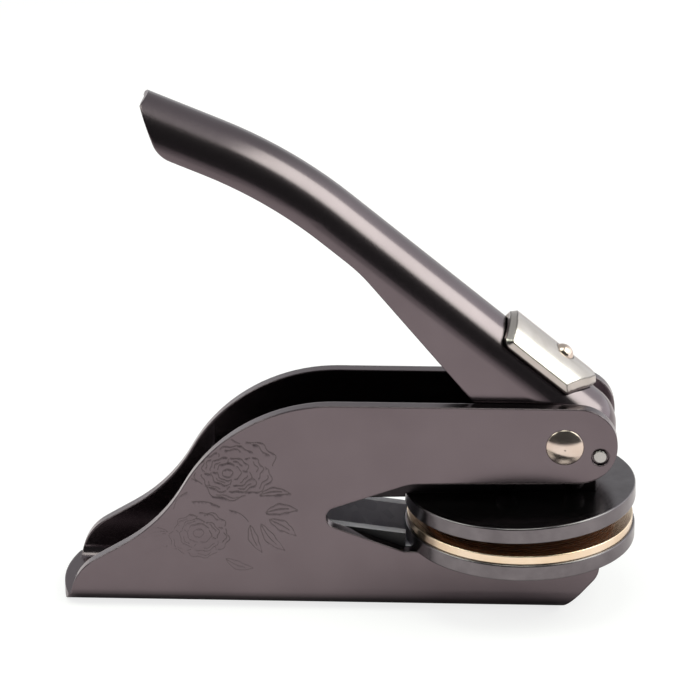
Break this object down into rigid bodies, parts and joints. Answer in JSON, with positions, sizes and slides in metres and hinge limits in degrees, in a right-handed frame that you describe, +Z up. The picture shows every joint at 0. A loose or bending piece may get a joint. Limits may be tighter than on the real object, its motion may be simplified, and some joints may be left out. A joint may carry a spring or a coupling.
{
  "type": "seal embosser",
  "caption": "Hand-held desk embosser: folded steel frame, pressed lever with slide lock, and round dies that press a seal into paper.",
  "frame": {"origin": "on the resting plane, under the middle of the overall length and width", "axes": "+X towards the dies, +Y to the left cheek, +Z up"},
  "size_m": [0.14, 0.056, 0.1272],
  "materials": {
    "gunmetal_plating": "satin gunmetal plating on pressed steel sheet",
    "plated_arm": "dull dark plating",
    "die_brass": "turned, lightly oxidised",
    "resin_counter": "moulded resin",
    "polished_nickel": "polished",
    "satin_nickel": "satin",
    "bright_steel": "ground",
    "blackened_steel": "blackened and oiled",
    "spring_steel": "drawn wire"
  },
  "bodies": {
    "frame": {"frame_body": "gunmetal_plating", "anvil_channel": "plated_arm", "channel_rivets": "bright_steel", "anvil_block": "blackened_steel", "lower_die_holder": "gunmetal_plating", "lower_die": "die_brass", "lower_holder_screws": "bright_steel", "pivot_pin": "polished_nickel", "pivot_washers": "bright_steel", "stop_pin": "bright_steel", "hinge_pin": "bright_steel", "hinge_washers": "bright_steel", "return_spring": "spring_steel", "spring_post": "bright_steel"},
    "arm": {"upper_arm": "plated_arm", "arm_block": "blackened_steel", "arm_rivets": "bright_steel", "upper_die_holder": "gunmetal_plating", "upper_die": "resin_counter", "upper_holder_screws": "bright_steel"},
    "lever": {"lever_shell": "gunmetal_plating", "press_cam": "blackened_steel", "cam_rivets": "bright_steel"},
    "lock_slider": {"lock_cover": "satin_nickel", "lock_plate": "blackened_steel", "lock_keeper": "blackened_steel", "lock_stud": "polished_nickel"}
  },
  "joints": [
    {"name": "lever_press", "type": "hinge", "parent": "frame", "child": "lever", "pos_m": [0.0521, 0, 0.04405], "axis": [0, -1, 0], "range_deg": [0, 30], "stiffness_Nm_per_rad": 0.5, "springref_deg": -20.05},
    {"name": "arm_swing", "type": "hinge", "parent": "frame", "child": "arm", "pos_m": [-0.0284, 0, 0.026], "axis": [0, 1, 0], "range_deg": [0, 1.86], "deforming": ["return_spring"]},
    {"name": "lock_slide", "type": "slide", "parent": "lever", "child": "lock_slider", "axis": [-0.7707, 0, 0.6372], "range_m": [0, 0.005]}
  ],
  "couplings": [
    {"joint": "arm_swing", "follows": "lever_press", "ratio": 0.062}
  ]
}
